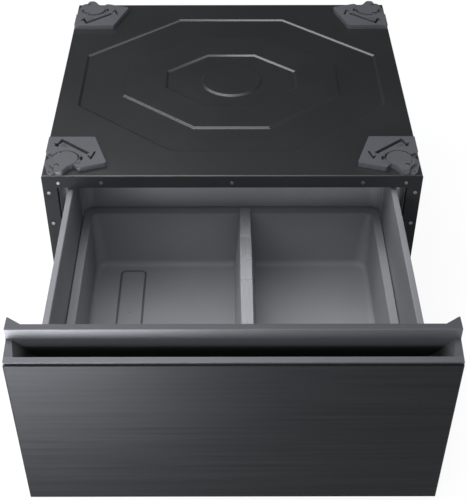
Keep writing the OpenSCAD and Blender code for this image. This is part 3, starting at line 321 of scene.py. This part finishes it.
# ---------------------------------------------------------------- holders
# A moulded plate in each corner of the top, screwed down twice, that takes a foot of the
# machine above. Glass-filled nylon: a hard, faintly mottled grey with a low sheen.
def moulded_plastic(name, dark, light, rough, depth, shade_below=0.0):
    """Moulded in an eroded mould: even grain, drawn 1.6 mm across so that it shows, and a
    broad sheen. What lies lower than shade_below is drawn darker, to stand in for the
    shade in a narrow groove."""
    material, tree, place = new_finish(name)
    fine = add_node(tree, "ShaderNodeTexNoise", {"Vector": place, "Scale": 1000/1.6, "Detail": 2})
    flow = add_node(tree, "ShaderNodeTexNoise", {"Vector": place, "Scale": 1000/220, "Detail": 2})
    flow_share = add_node(tree, "ShaderNodeMapRange", {0: flow.outputs["Fac"], 1: 0.3, 2: 0.7})
    colour = add_node(tree, "ShaderNodeMix", {0: flow_share.outputs[0], 6: linear(dark),
                                              7: linear(light)}, data_type="RGBA")
    spot = add_node(tree, "ShaderNodeSeparateXYZ", {0: place})
    shade = add_node(tree, "ShaderNodeMapRange", {0: spot.outputs["Z"], 1: shade_below - 0.001,
                                                 2: shade_below, 3: 1.0, 4: 0.0})
    colour = add_node(tree, "ShaderNodeMix", {0: shade.outputs[0], 6: colour.outputs[2],
                                              7: linear("#4e4f53")}, data_type="RGBA")
    gloss = add_node(tree, "ShaderNodeMapRange", {0: fine.outputs["Fac"], 1: 0.25, 2: 0.75,
                                                  3: rough - 0.04, 4: rough + 0.05})
    bump = add_node(tree, "ShaderNodeBump", {"Height": fine.outputs["Fac"], "Strength": depth,
                                             "Distance": 0.0003})
    return close_finish(material, tree, {
        "Base Color": colour.outputs[2], "Roughness": gloss.outputs[0], "Normal": bump.outputs[0],
        "IOR": 1.49})


holder_nylon = moulded_plastic("glass_filled_nylon", "#424347", "#4b4c50", 0.42, 0.12)
for corner in ("front_left", "front_right", "rear_left", "rear_right"):
    finish_copy("holder_" + corner, "_moulding", 0.0006, "cabinet", holder_nylon)


# ---------------------------------------------------------------- screws
# Sheet steel screws with a low domed head and a cross recess, zinc plated. One is
# modelled for each set and turned to its places. The slides' hidden screws keep the
# CAD's plain form.
screw_zinc = zinc_plate("dulled_zinc_plate", "#6c6e71", "#828487", 0.44, (1, 1, 1))


def islands(name):
    """Lowest and highest corner of each loose solid of a CAD node."""
    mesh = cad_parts[name].data
    spots = {}
    owner = []
    for v in mesh.vertices:
        key = tuple(round(c*1e5) for c in v.co)
        owner.append(spots.setdefault(key, len(spots)))
    leader = list(range(len(spots)))

    def leader_of(i):
        while leader[i] != i:
            leader[i] = leader[leader[i]]
            i = leader[i]
        return i

    for face in mesh.polygons:
        first = leader_of(owner[face.vertices[0]])
        for v in face.vertices[1:]:
            leader[leader_of(owner[v])] = first
    boxes = {}
    for v in mesh.vertices:
        low, high = boxes.setdefault(leader_of(owner[v.index]), (v.co.copy(), v.co.copy()))
        for k in range(3):
            low[k] = min(low[k], v.co[k])
            high[k] = max(high[k], v.co[k])
    return list(boxes.values())


def model_screw(head_r, head_h, shank_r, length):
    """A screw at the origin: its head's seat is at z 0, its head points up."""
    bpy.ops.object.select_all(action="DESELECT")
    bpy.ops.mesh.primitive_cylinder_add(vertices=32, radius=head_r, depth=head_h,
                                        location=(0, 0, head_h/2))
    head = bpy.context.object
    bpy.ops.object.mode_set(mode="EDIT")
    bpy.ops.mesh.select_all(action="DESELECT")
    bpy.ops.object.mode_set(mode="OBJECT")
    for edge in head.data.edges:
        edge.select = all(head.data.vertices[v].co.z > head_h*0.4 for v in edge.vertices)
    bpy.ops.object.mode_set(mode="EDIT")
    bpy.ops.mesh.select_mode(type="EDGE")
    bpy.ops.mesh.bevel(offset=head_h*0.7, segments=4, profile=0.6)
    bpy.ops.object.mode_set(mode="OBJECT")
    bpy.ops.object.select_all(action="DESELECT")
    bpy.ops.mesh.primitive_cube_add(size=1, location=(0, 0, head_h))
    cross = bpy.context.object
    cross.scale = (head_r*1.05, head_r*0.26, head_h*1.1)
    bpy.ops.object.transform_apply(location=False, rotation=False, scale=True)
    bpy.ops.object.mode_set(mode="EDIT")
    bpy.ops.mesh.select_all(action="SELECT")
    bpy.ops.mesh.duplicate()
    bpy.ops.transform.rotate(value=math.pi/2, orient_axis="Z", center_override=(0, 0, head_h))
    bpy.ops.object.mode_set(mode="OBJECT")
    recess = head.modifiers.new("cross_recess", "BOOLEAN")
    recess.operation = "DIFFERENCE"
    recess.use_self = True
    recess.object = cross
    bpy.context.view_layer.objects.active = head
    bpy.ops.object.modifier_apply(modifier=recess.name)
    bpy.data.objects.remove(cross)
    bpy.ops.object.select_all(action="DESELECT")
    bpy.ops.mesh.primitive_cone_add(vertices=20, radius1=shank_r*0.3, radius2=shank_r,
                                    depth=length*0.3, location=(0, 0, -length*0.85))
    shank = bpy.context.object
    bpy.ops.object.mode_set(mode="EDIT")
    bpy.ops.mesh.select_all(action="DESELECT")
    bpy.ops.object.mode_set(mode="OBJECT")
    highest = max(f.center.z for f in shank.data.polygons)
    for face in shank.data.polygons:
        face.select = face.center.z > highest - 1e-6
    bpy.ops.object.mode_set(mode="EDIT")
    bpy.ops.mesh.select_mode(type="FACE")
    turns = 6
    for k in range(turns):
        for grow in (0.72, 1/0.72):
            bpy.ops.mesh.extrude_region_move(
                TRANSFORM_OT_translate={"value": (0, 0, length*0.7/(2*turns))})
            bpy.ops.transform.resize(value=(grow, grow, 1))
    bpy.ops.object.mode_set(mode="OBJECT")
    head.select_set(True)
    bpy.context.view_layer.objects.active = head
    bpy.ops.object.join()
    bpy.ops.object.transform_apply(location=True, rotation=True, scale=True)
    return head


def set_screws(name, heads, body):
    """A screw in every place of a CAD node: heads is the way that its heads point."""
    head_h = 0.0015
    shank_r = 0.002
    axis = max(range(3), key=lambda k: abs(heads[k]))
    forward = heads[axis] > 0
    copies = []
    model = None
    for low, high in islands(name):
        ends = [low[axis], high[axis]] if forward else [high[axis], low[axis]]
        across = [high[k] - low[k] for k in range(3) if k != axis]
        head_r = max(across)/2
        length = abs(ends[1] - ends[0]) - head_h
        if model is None:
            model = model_screw(head_r, head_h, shank_r, length)
        middle = (low + high)/2
        middle[axis] = ends[1] - heads[axis]*head_h
        copy = bpy.data.objects.new(name + "_copy", model.data.copy())
        bpy.context.scene.collection.objects.link(copy)
        copy.rotation_euler = Vector(heads).to_track_quat("Z", "X").to_euler()
        copy.location = middle
        copies.append(copy)
    bpy.data.objects.remove(model)
    bpy.ops.object.select_all(action="DESELECT")
    for copy in copies:
        copy.select_set(True)
    bpy.context.view_layer.objects.active = copies[0]
    bpy.ops.object.transform_apply(location=True, rotation=True, scale=True)
    if len(copies) > 1:
        bpy.ops.object.join()
    piece = bpy.context.view_layer.objects.active
    piece.name = name + "_threaded"
    piece.data.materials.clear()
    piece.data.materials.append(screw_zinc)
    bpy.ops.object.shade_smooth_by_angle(angle=math.radians(40))
    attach(piece, body)
    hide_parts(name)


set_screws("frame_screws", (0, -1, 0), "cabinet")
set_screws("back_screws", (0, 1, 0), "cabinet")
set_screws("holder_screws", (0, 0, 1), "cabinet")
set_screws("drawer_screws", (0, 1, 0), "drawer")
for name in ("slide_screws_cabinet", "slide_screws_drawer"):
    finish_node(name, screw_zinc)


# ---------------------------------------------------------------- feet
# Four levelling feet: a rubber pad on a zinc-plated threaded stud with a lock nut.
# The pad is a plain turned shape, and black rubber keeps almost no shine.
rubber = moulded_plastic("black_rubber", "#1a1a1b", "#212122", 0.8, 0.1)


def model_stud(foot, top):
    """A stud from z foot to z top on the Z axis: a plain end that turns in the pad, a
    hexagon for a spanner, then a thread of 1.5 mm pitch with a chamfered end."""
    stud_r = 0.005
    hex_r = stud_r*1.7
    thread_depth = 0.0007
    pitch = 0.0015
    hex_low = 0.013
    hex_h = 0.006
    end_h = 0.001
    bpy.ops.object.select_all(action="DESELECT")
    bpy.ops.mesh.primitive_cylinder_add(vertices=6, radius=hex_r, depth=hex_h,
                                        location=(0, 0, hex_low + hex_h/2))
    hexagon = bpy.context.object
    corners = hexagon.modifiers.new("chamfer", "BEVEL")
    corners.width = 0.0005
    corners.segments = 1
    bpy.ops.object.modifier_apply(modifier=corners.name)
    bpy.ops.object.select_all(action="DESELECT")
    core_r = stud_r - thread_depth
    core_h = hex_low + hex_h - foot
    bpy.ops.mesh.primitive_cylinder_add(vertices=24, radius=core_r, depth=core_h,
                                        location=(0, 0, foot + core_h/2))
    stud = bpy.context.object
    bpy.ops.object.mode_set(mode="EDIT")
    bpy.ops.mesh.select_all(action="DESELECT")
    bpy.ops.object.mode_set(mode="OBJECT")
    highest = max(f.center.z for f in stud.data.polygons)
    for face in stud.data.polygons:
        face.select = face.center.z > highest - 1e-6
    bpy.ops.object.mode_set(mode="EDIT")
    bpy.ops.mesh.select_mode(type="FACE")
    turns = int((top - end_h - hex_low - hex_h)/pitch)
    step = (top - end_h - hex_low - hex_h)/(2*turns)
    for k in range(turns):
        for grow in (stud_r/core_r, core_r/stud_r):
            bpy.ops.mesh.extrude_region_move(TRANSFORM_OT_translate={"value": (0, 0, step)})
            bpy.ops.transform.resize(value=(grow, grow, 1))
    bpy.ops.mesh.extrude_region_move(TRANSFORM_OT_translate={"value": (0, 0, end_h)})
    bpy.ops.transform.resize(value=(0.75, 0.75, 1))
    bpy.ops.object.mode_set(mode="OBJECT")
    hexagon.select_set(True)
    bpy.context.view_layer.objects.active = stud
    bpy.ops.object.join()
    bpy.ops.object.transform_apply(location=True, rotation=True, scale=True)
    return stud


def set_studs():
    """One stud is modelled and copied to the four feet, and each pad gets its rubber."""
    model = None
    for corner in ("front_left", "front_right", "rear_left", "rear_right"):
        finish_node("foot_pad_" + corner, rubber)
        low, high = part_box("foot_stud_" + corner)
        if model is None:
            model = model_stud(low[2], high[2])
        piece = bpy.data.objects.new("foot_stud_" + corner + "_threaded", model.data.copy())
        bpy.context.scene.collection.objects.link(piece)
        piece.location = ((low[0] + high[0])/2, (low[1] + high[1])/2, 0)
        bpy.ops.object.select_all(action="DESELECT")
        piece.select_set(True)
        bpy.context.view_layer.objects.active = piece
        bpy.ops.object.transform_apply(location=True, rotation=True, scale=True)
        piece.data.materials.clear()
        piece.data.materials.append(screw_zinc)
        bpy.ops.object.shade_smooth_by_angle(angle=math.radians(30))
        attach(piece, "foot_" + corner)
        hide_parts("foot_stud_" + corner)
    bpy.data.objects.remove(model)


set_studs()
finish_copy("foot_lock_nuts", "_chamfered", 0.0004, "cabinet", screw_zinc)


# ---------------------------------------------------------------- drawer box
# Sides, back and base of folded steel sheet with a grey enamel. The sides stand above
# the tub and carry the slides.
box_enamel = powder_coat("grey_box_enamel", "#737478", "#7b7c80", 0.42, metal=0.3)
for name in ("left_drawer_side", "right_drawer_side", "drawer_base"):
    finish_copy(name, "_pressing", 0.0004, "drawer", box_enamel)
# The back gets a paler copy of the sides' enamel: painted light, where the lamps leave it too dark.
back_enamel_painted_light = powder_coat("box_enamel_painted_light", "#929397", "#9a9b9f", 0.42, metal=0.3)
finish_copy("drawer_back", "_pressing", 0.0004, "drawer", back_enamel_painted_light)


# ---------------------------------------------------------------- tub
# One deep moulding in grained polypropylene that drops into the steel box, with a
# rounded rim, drafted walls and a narrow groove round a field of its left floor. The
# groove is deeper and the seam behind the rim wider than in the CAD, to show as a line.
floor_top = 0.084
groove_foot = floor_top - 0.001
groove_deeper = 0.0011
seam_wider = 0.0015
tub_plastic = moulded_plastic("grained_polypropylene", "#747579", "#7c7d81", 0.6, 0.14,
                              shade_below=floor_top - 0.0003)
tub = open_copy("tub", "_moulding", tub_plastic)
rim_back = max(v.co.y for v in tub.data.vertices)
for v in tub.data.vertices:
    if abs(v.co.z - groove_foot) < 1e-5:
        v.co.z -= groove_deeper
    if v.co.y > rim_back - 1e-5:
        v.co.y -= seam_wider
close_copy(tub, "tub", 0.0006, "drawer")


# ---------------------------------------------------------------- divider
# A hollow moulding, open underneath, that hooks over the tub's rims and lifts out.
# Lighter polypropylene with faint lines along its length.
def lined_plastic():
    """Moulded plastic with lengthwise lines, drawn 2.2 mm apart so that they show."""
    material, tree, place = new_finish("light_polypropylene")
    along = add_node(tree, "ShaderNodeMapping", {"Vector": place, "Scale": (1, 1/40, 1)})
    lines = add_node(tree, "ShaderNodeTexNoise", {"Vector": along.outputs[0], "Scale": 1000/2.2,
                                                  "Detail": 2})
    share = add_node(tree, "ShaderNodeMapRange", {0: lines.outputs["Fac"], 1: 0.3, 2: 0.7})
    colour = add_node(tree, "ShaderNodeMix", {0: share.outputs[0], 6: linear("#7f8084"),
                                              7: linear("#8d8e92")}, data_type="RGBA")
    bump = add_node(tree, "ShaderNodeBump", {"Height": lines.outputs["Fac"], "Strength": 0.15,
                                             "Distance": 0.0002})
    return close_finish(material, tree, {"Base Color": colour.outputs[2], "Roughness": 0.55,
                                         "Normal": bump.outputs[0], "IOR": 1.49})


finish_copy("divider", "_moulding", 0.001, "divider", lined_plastic())


# ---------------------------------------------------------------- drawer front
# A black core carries the handle moulding and the steel skin. The handle is ABS with a
# sprayed metallic paint: aluminium flakes lift its tone on the side that faces a lamp.
def metallic_paint():
    """Flakes drawn 1 mm apart, so that they show. Below the lip, deep in the recess, the colour fades
    to near black and loses its metal: painted shade."""
    fade_top = 0.346
    fade_foot = 0.314
    lip_back = -0.542
    material, tree, place = new_finish("sprayed_metallic_paint")
    flakes = add_node(tree, "ShaderNodeTexNoise", {"Vector": place, "Scale": 1000/1.0, "Detail": 2})
    paint = add_node(tree, "ShaderNodeMix", {0: flakes.outputs["Fac"], 6: linear("#4d4e52"),
                                             7: linear("#5b5c60")}, data_type="RGBA")
    spot = add_node(tree, "ShaderNodeSeparateXYZ", {0: place})
    # Painted shade: behind the lip, from fade_top down to fade_foot, the colour fades to near black
    # and the metal goes.
    depth = add_node(tree, "ShaderNodeMapRange", {0: spot.outputs["Z"], 1: fade_top, 2: fade_foot,
                                                  3: 0.0, 4: 1.0},
                     interpolation_type="SMOOTHSTEP")
    behind_lip = add_node(tree, "ShaderNodeMath", {0: spot.outputs["Y"], 1: lip_back},
                          operation="GREATER_THAN")
    recess_shade = add_node(tree, "ShaderNodeMath", {0: depth.outputs[0], 1: behind_lip.outputs[0]},
                    operation="MULTIPLY")
    colour = add_node(tree, "ShaderNodeMix", {0: recess_shade.outputs[0], 6: paint.outputs[2],
                                              7: linear("#101011")}, data_type="RGBA")
    metal = add_node(tree, "ShaderNodeMapRange", {0: recess_shade.outputs[0], 3: 0.65, 4: 0.0})
    gloss = add_node(tree, "ShaderNodeMapRange", {0: flakes.outputs["Fac"], 1: 0.25, 2: 0.75,
                                                  3: 0.44, 4: 0.52})
    return close_finish(material, tree, {
        "Base Color": colour.outputs[2], "Metallic": metal.outputs[0], "Roughness": gloss.outputs[0],
        "Specular IOR Level": 0.25})


handle_paint = metallic_paint()
finish_copy("handle", "_moulding", 0.0009, "drawer", handle_paint)
core_plastic = moulded_plastic("black_polypropylene", "#161617", "#1b1b1d", 0.6, 0.1)
finish_node("front_core", core_plastic)
finish_node("front_bumpers", rubber)


def brushed_steel():
    """Stainless sheet brushed from side to side and lacquered dark. The real lines are
    too fine to show, so they are drawn 2.6 mm apart."""
    material, tree, place = new_finish("brushed_dark_steel")
    along = add_node(tree, "ShaderNodeMapping", {"Vector": place, "Scale": (1/90, 1, 1)})
    lines = add_node(tree, "ShaderNodeTexNoise", {"Vector": along.outputs[0], "Scale": 1000/2.6,
                                                  "Detail": 4})
    share = add_node(tree, "ShaderNodeMapRange", {0: lines.outputs["Fac"], 1: 0.35, 2: 0.65})
    colour = add_node(tree, "ShaderNodeMix", {0: share.outputs[0], 6: linear("#212224"),
                                              7: linear("#27282a")}, data_type="RGBA")
    gloss = add_node(tree, "ShaderNodeMapRange", {0: lines.outputs["Fac"], 1: 0.25, 2: 0.75,
                                                  3: 0.54, 4: 0.6})
    bump = add_node(tree, "ShaderNodeBump", {"Height": lines.outputs["Fac"], "Strength": 0.1,
                                             "Distance": 0.0002})
    return close_finish(material, tree, {
        "Base Color": colour.outputs[2], "Metallic": 1.0, "Roughness": gloss.outputs[0],
        "Normal": bump.outputs[0]})


# The skin's top edge is rolled over a little further than its other edges.
top_edge = 0.0009
skin = open_copy("front_skin", "_brushed", brushed_steel())
skin_face = min(v.co.y for v in skin.data.vertices)
skin_top = max(v.co.z for v in skin.data.vertices)
for edge in skin.data.edges:
    ends = [skin.data.vertices[v].co for v in edge.vertices]
    edge.select = all(e.z > skin_top - 1e-5 and e.y < skin_face + 1e-5 for e in ends)
bpy.ops.object.mode_set(mode="EDIT")
bpy.ops.mesh.select_mode(type="EDGE")
bpy.ops.mesh.bevel(offset=top_edge, segments=3, profile=0.5)
bpy.ops.object.mode_set(mode="OBJECT")
close_copy(skin, "front_skin", 0.0003, "drawer")
